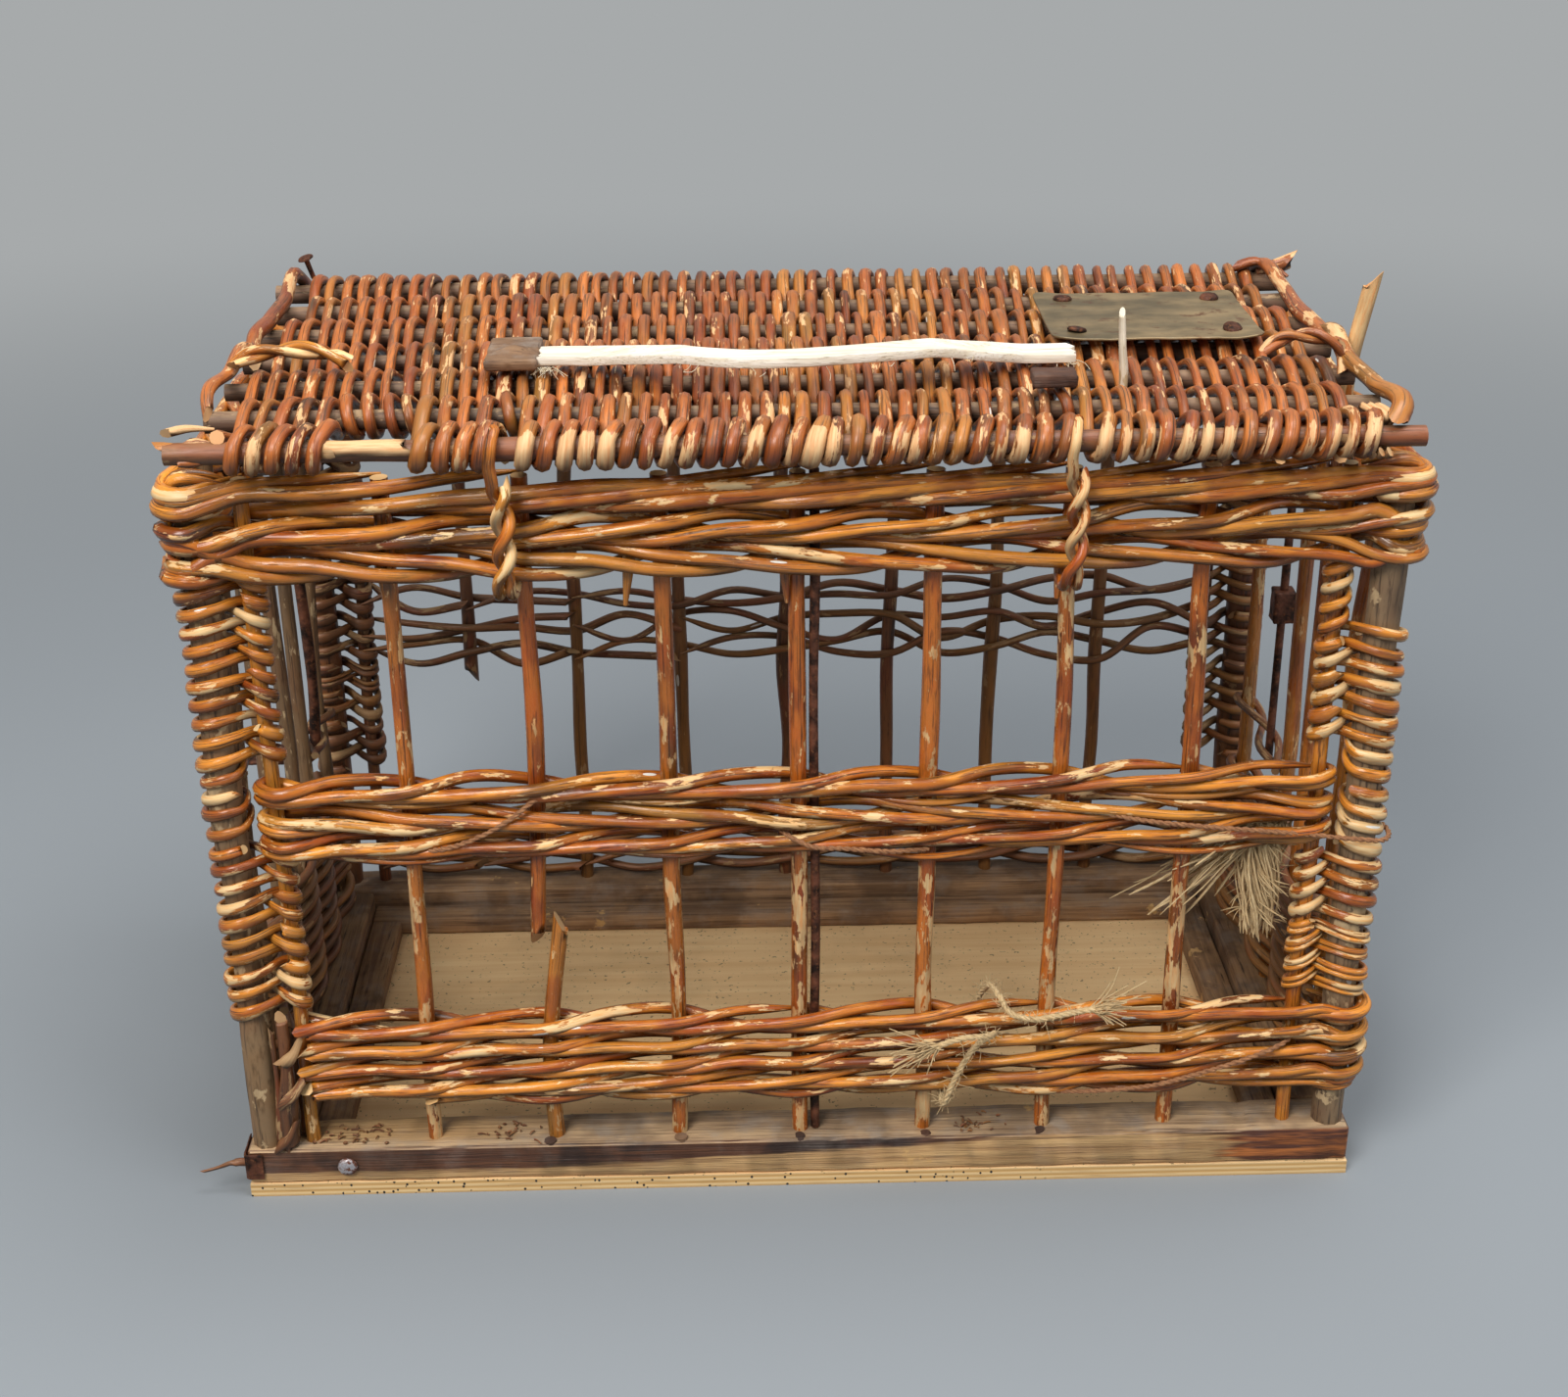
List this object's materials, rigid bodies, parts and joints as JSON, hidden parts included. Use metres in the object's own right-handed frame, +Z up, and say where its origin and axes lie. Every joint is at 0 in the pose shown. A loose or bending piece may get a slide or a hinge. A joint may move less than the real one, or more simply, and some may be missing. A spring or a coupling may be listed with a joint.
{
  "type": "pigeon carrier basket",
  "caption": "Wicker carrier basket for pigeons: timber and plywood base, open barred sides, woven lid on twisted willow loops, carrying strip and end bolt.",
  "frame": {"origin": "middle of the plywood base, on its underside", "axes": "+X to the right along the length, +Y from the front with the two twisted loops to the rear, +Z up"},
  "size_m": [0.6425, 0.3422, 0.4727],
  "materials": {
    "plywood": "pale bare plywood",
    "timber": "dark weathered softwood",
    "willow": "varnished orange-brown willow rods",
    "old_willow": "dull dark brown willow rods",
    "peeled": "dry cream peeled willow",
    "iron": "rusty iron",
    "plate_metal": "tarnished olive metal without lettering",
    "jute": "hairy jute twine"
  },
  "bodies": {
    "basket": {"base_board": "plywood", "front_rail": "timber", "rear_rail": "timber", "left_rail": "timber", "right_rail": "timber", "rear_ledge": "timber", "left_ledge": "timber", "right_ledge": "timber", "rail_nail": "iron", "corner_strap": "iron", "front_left_post": "old_willow", "front_right_post": "old_willow", "front_left_corner_stake": "willow", "front_right_corner_stake": "willow", "front_stake_1": "willow", "front_stake_2_lower": "willow", "front_stake_2_upper": "willow", "front_stake_3": "willow", "front_stake_4": "willow", "front_stake_5": "willow", "front_stake_6": "willow", "front_stake_7": "willow", "rear_broken_stake": "old_willow", "front_iron_rod": "iron", "rear_iron_rod": "iron", "front_border": "willow", "rear_border": "old_willow", "left_border": "willow", "right_border": "willow", "front_mid_band": "willow", "rear_mid_band": "old_willow", "front_foot_band": "willow", "rear_foot_band": "old_willow", "left_end_panel": "old_willow", "right_end_panel": "old_willow", "front_left_wrap": "willow", "front_right_wrap": "willow", "rear_left_wrap": "old_willow", "rear_right_wrap": "old_willow", "left_hinge_loop": "willow", "right_hinge_loop": "willow", "left_bolt_tie": "old_willow", "right_rod_tie": "old_willow", "right_iron_rod": "iron", "right_rod_sleeve": "iron", "twine_tie": "jute"},
    "lid": {"lid_front_stick": "willow", "lid_rear_stick": "old_willow", "lid_inner_sticks": "old_willow", "lid_weave": "willow", "lid_left_withy": "willow", "lid_right_withy": "willow", "lid_broken_weaver": "peeled", "lid_corner_nail": "iron", "carrying_strip": "peeled", "strip_keeper": "timber", "strip_block": "timber", "owner_plate": "plate_metal"},
    "bolt": {"left_bolt": "iron"}
  },
  "joints": [
    {"name": "lid_hinge", "type": "hinge", "parent": "basket", "child": "lid", "pos_m": [0, -0.163, 0.42737], "axis": [1, 0, 0], "range_deg": [0, 110]},
    {"name": "left_bolt_turn", "type": "hinge", "parent": "basket", "child": "bolt", "pos_m": [-0.289, 0.08, 0.15], "axis": [0, 0, 1], "range_deg": [0, 60]}
  ]
}
